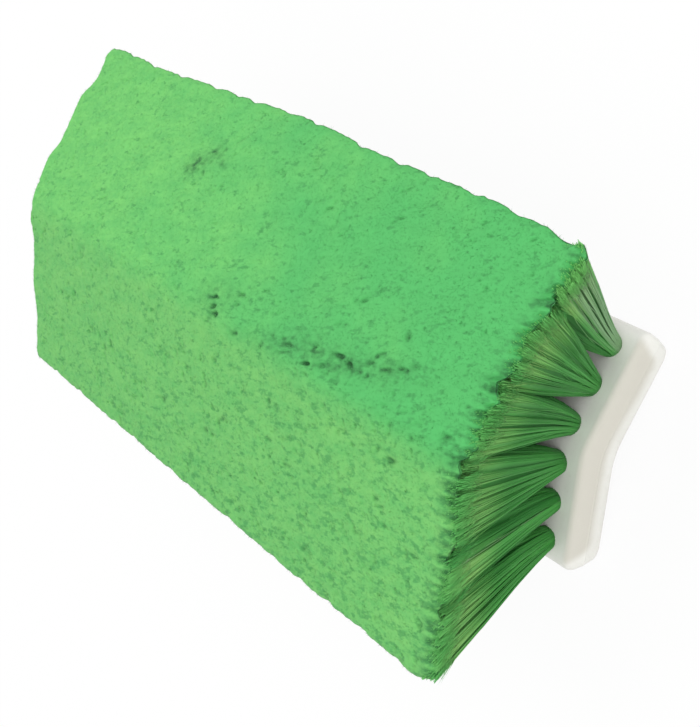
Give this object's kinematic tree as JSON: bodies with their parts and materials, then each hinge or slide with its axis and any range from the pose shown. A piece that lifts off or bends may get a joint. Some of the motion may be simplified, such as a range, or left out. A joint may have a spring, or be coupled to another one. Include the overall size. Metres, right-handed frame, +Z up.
{
  "type": "block scrub brush",
  "caption": "Bi-level block scrub brush head: roof-shaped white foam-plastic block, green split-tip bristles trimmed to a ridge, and a blind pole socket in the hollow back.",
  "frame": {"origin": "on the ground under the middle of the brush, which rests on the feet of its block with the bristles up", "axes": "+X along the block, +Y across it, +Z up out of the bristles"},
  "size_m": [0.296, 0.144, 0.0927],
  "materials": {
    "white_foam_plastic": "satin, faintly swirled foam-moulded surface",
    "green_bristle": "fine crimped synthetic fibre, split at the tips to a felt-like face"
  },
  "bodies": {
    "root": {"brush_block": "white_foam_plastic", "tuft_row_1": "green_bristle", "tuft_row_2": "green_bristle", "tuft_row_3": "green_bristle", "tuft_row_4": "green_bristle", "tuft_row_5": "green_bristle", "tuft_row_6": "green_bristle"}
  },
  "joints": []
}
